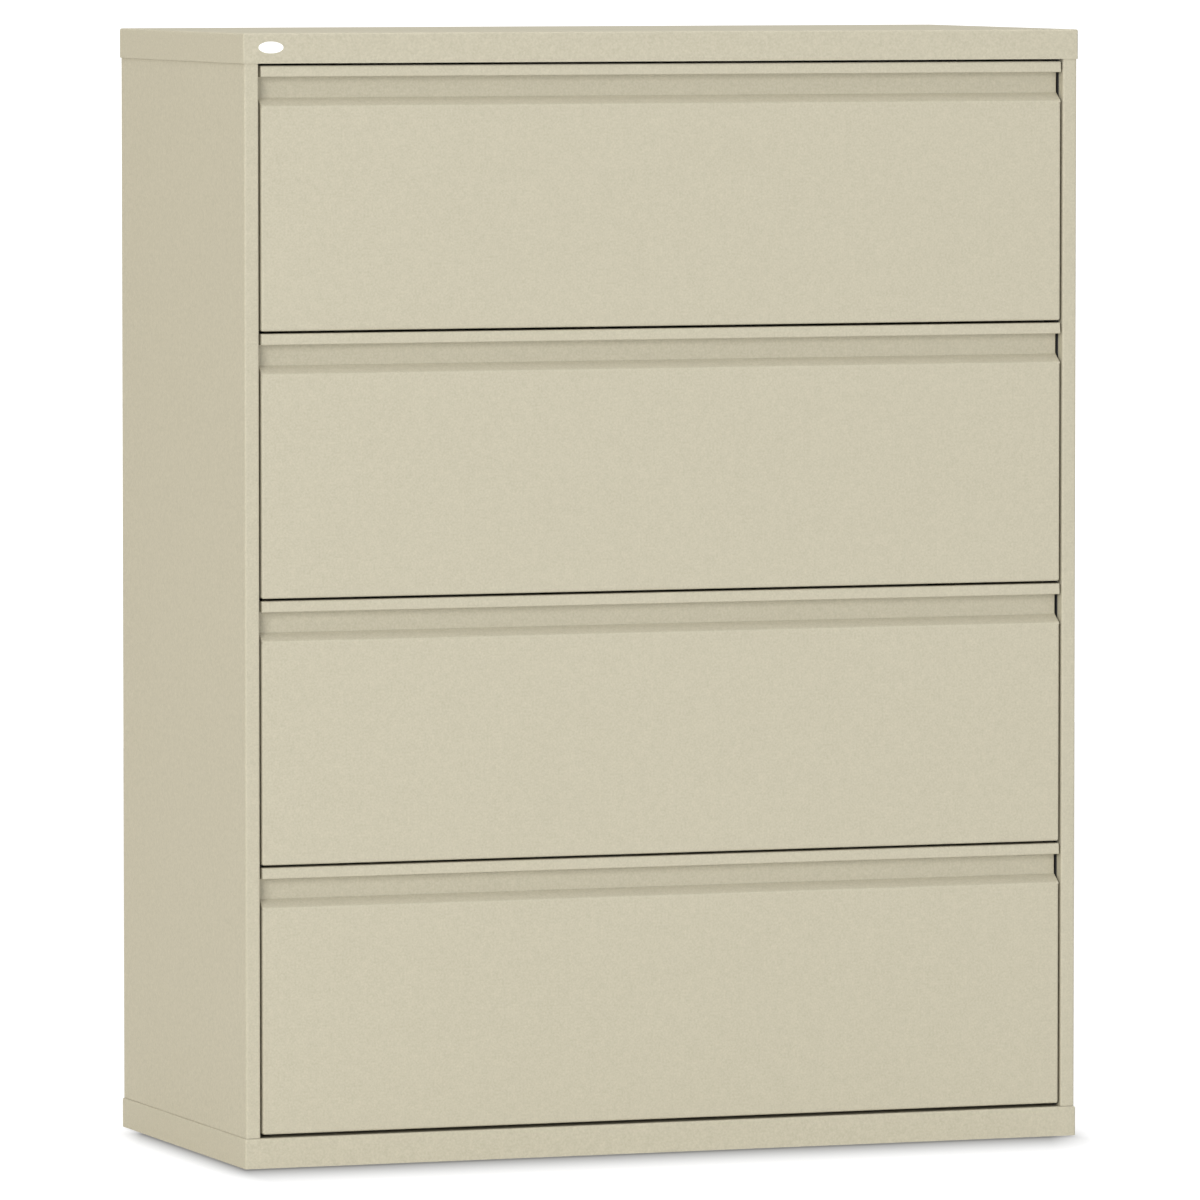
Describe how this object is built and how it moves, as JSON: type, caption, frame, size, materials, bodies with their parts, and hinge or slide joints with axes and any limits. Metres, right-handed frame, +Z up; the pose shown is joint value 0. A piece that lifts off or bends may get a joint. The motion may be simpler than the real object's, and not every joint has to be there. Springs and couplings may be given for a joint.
{
  "type": "lateral filing cabinet",
  "caption": "Steel lateral filing cabinet with full-width drawers, recessed pulls folded into the fronts, telescoping slides and an anti-tip interlock.",
  "frame": {"origin": "on the floor, under the middle of the cabinet's width and depth", "axes": "+Z up, -Y towards the front that the drawers open to, +X to the right seen from the front"},
  "size_m": [1.0668, 0.489, 1.3525],
  "materials": {
    "putty_paint": "fine-textured putty powder coat on folded sheet steel",
    "zinc_steel": "bright zinc plate on rolled steel",
    "upright_coat": "black dip coat on folded steel",
    "counterweight_steel": "bare dark hot-rolled plate",
    "glide_nylon": "moulded black nylon"
  },
  "bodies": {
    "case": {"left_side_panel": "putty_paint", "right_side_panel": "putty_paint", "back_panel": "putty_paint", "top_cap": "putty_paint", "base_pan": "putty_paint", "front_left_upright": "upright_coat", "front_right_upright": "upright_coat", "rear_left_upright": "upright_coat", "rear_right_upright": "upright_coat", "counterweight": "counterweight_steel", "drawer_1_left_cabinet_member": "zinc_steel", "drawer_1_right_cabinet_member": "zinc_steel", "drawer_2_left_cabinet_member": "zinc_steel", "drawer_2_right_cabinet_member": "zinc_steel", "drawer_3_left_cabinet_member": "zinc_steel", "drawer_3_right_cabinet_member": "zinc_steel", "drawer_4_left_cabinet_member": "zinc_steel", "drawer_4_right_cabinet_member": "zinc_steel"},
    "drawer_1": {"drawer_1_front": "putty_paint", "drawer_1_tray": "putty_paint", "drawer_1_front_hang_rail": "zinc_steel", "drawer_1_rear_hang_rail": "zinc_steel", "drawer_1_interlock_striker": "zinc_steel", "drawer_1_left_drawer_member": "zinc_steel", "drawer_1_right_drawer_member": "zinc_steel"},
    "drawer_1_carriage": {"drawer_1_left_middle_member": "zinc_steel", "drawer_1_right_middle_member": "zinc_steel"},
    "drawer_2": {"drawer_2_front": "putty_paint", "drawer_2_tray": "putty_paint", "drawer_2_front_hang_rail": "zinc_steel", "drawer_2_rear_hang_rail": "zinc_steel", "drawer_2_interlock_striker": "zinc_steel", "drawer_2_left_drawer_member": "zinc_steel", "drawer_2_right_drawer_member": "zinc_steel"},
    "drawer_2_carriage": {"drawer_2_left_middle_member": "zinc_steel", "drawer_2_right_middle_member": "zinc_steel"},
    "drawer_3": {"drawer_3_front": "putty_paint", "drawer_3_tray": "putty_paint", "drawer_3_front_hang_rail": "zinc_steel", "drawer_3_rear_hang_rail": "zinc_steel", "drawer_3_interlock_striker": "zinc_steel", "drawer_3_left_drawer_member": "zinc_steel", "drawer_3_right_drawer_member": "zinc_steel"},
    "drawer_3_carriage": {"drawer_3_left_middle_member": "zinc_steel", "drawer_3_right_middle_member": "zinc_steel"},
    "drawer_4": {"drawer_4_front": "putty_paint", "drawer_4_tray": "putty_paint", "drawer_4_front_hang_rail": "zinc_steel", "drawer_4_rear_hang_rail": "zinc_steel", "drawer_4_interlock_striker": "zinc_steel", "drawer_4_left_drawer_member": "zinc_steel", "drawer_4_right_drawer_member": "zinc_steel"},
    "drawer_4_carriage": {"drawer_4_left_middle_member": "zinc_steel", "drawer_4_right_middle_member": "zinc_steel"},
    "interlock": {"interlock_bar": "zinc_steel"},
    "front_left_foot": {"front_left_glide": "glide_nylon"},
    "front_right_foot": {"front_right_glide": "glide_nylon"},
    "rear_left_foot": {"rear_left_glide": "glide_nylon"},
    "rear_right_foot": {"rear_right_glide": "glide_nylon"}
  },
  "joints": [
    {"name": "drawer_1_slide", "type": "slide", "parent": "case", "child": "drawer_1", "axis": [0, -1, 0], "range_m": [0, 0.406]},
    {"name": "drawer_1_carriage_slide", "type": "slide", "parent": "case", "child": "drawer_1_carriage", "axis": [0, -1, 0], "range_m": [0, 0.203]},
    {"name": "drawer_2_slide", "type": "slide", "parent": "case", "child": "drawer_2", "axis": [0, -1, 0], "range_m": [0, 0.406]},
    {"name": "drawer_2_carriage_slide", "type": "slide", "parent": "case", "child": "drawer_2_carriage", "axis": [0, -1, 0], "range_m": [0, 0.203]},
    {"name": "drawer_3_slide", "type": "slide", "parent": "case", "child": "drawer_3", "axis": [0, -1, 0], "range_m": [0, 0.406]},
    {"name": "drawer_3_carriage_slide", "type": "slide", "parent": "case", "child": "drawer_3_carriage", "axis": [0, -1, 0], "range_m": [0, 0.203]},
    {"name": "drawer_4_slide", "type": "slide", "parent": "case", "child": "drawer_4", "axis": [0, -1, 0], "range_m": [0, 0.406]},
    {"name": "drawer_4_carriage_slide", "type": "slide", "parent": "case", "child": "drawer_4_carriage", "axis": [0, -1, 0], "range_m": [0, 0.203]},
    {"name": "interlock_lift", "type": "slide", "parent": "case", "child": "interlock", "axis": [0, 0, 1], "range_m": [0, 0.01]},
    {"name": "front_left_foot_screw", "type": "slide", "parent": "case", "child": "front_left_foot", "axis": [0, 0, -1], "range_m": [0, 0.015]},
    {"name": "front_right_foot_screw", "type": "slide", "parent": "case", "child": "front_right_foot", "axis": [0, 0, -1], "range_m": [0, 0.015]},
    {"name": "rear_left_foot_screw", "type": "slide", "parent": "case", "child": "rear_left_foot", "axis": [0, 0, -1], "range_m": [0, 0.015]},
    {"name": "rear_right_foot_screw", "type": "slide", "parent": "case", "child": "rear_right_foot", "axis": [0, 0, -1], "range_m": [0, 0.015]}
  ],
  "couplings": [
    {"joint": "drawer_1_carriage_slide", "follows": "drawer_1_slide", "ratio": 0.5},
    {"joint": "drawer_2_carriage_slide", "follows": "drawer_2_slide", "ratio": 0.5},
    {"joint": "drawer_3_carriage_slide", "follows": "drawer_3_slide", "ratio": 0.5},
    {"joint": "drawer_4_carriage_slide", "follows": "drawer_4_slide", "ratio": 0.5}
  ]
}
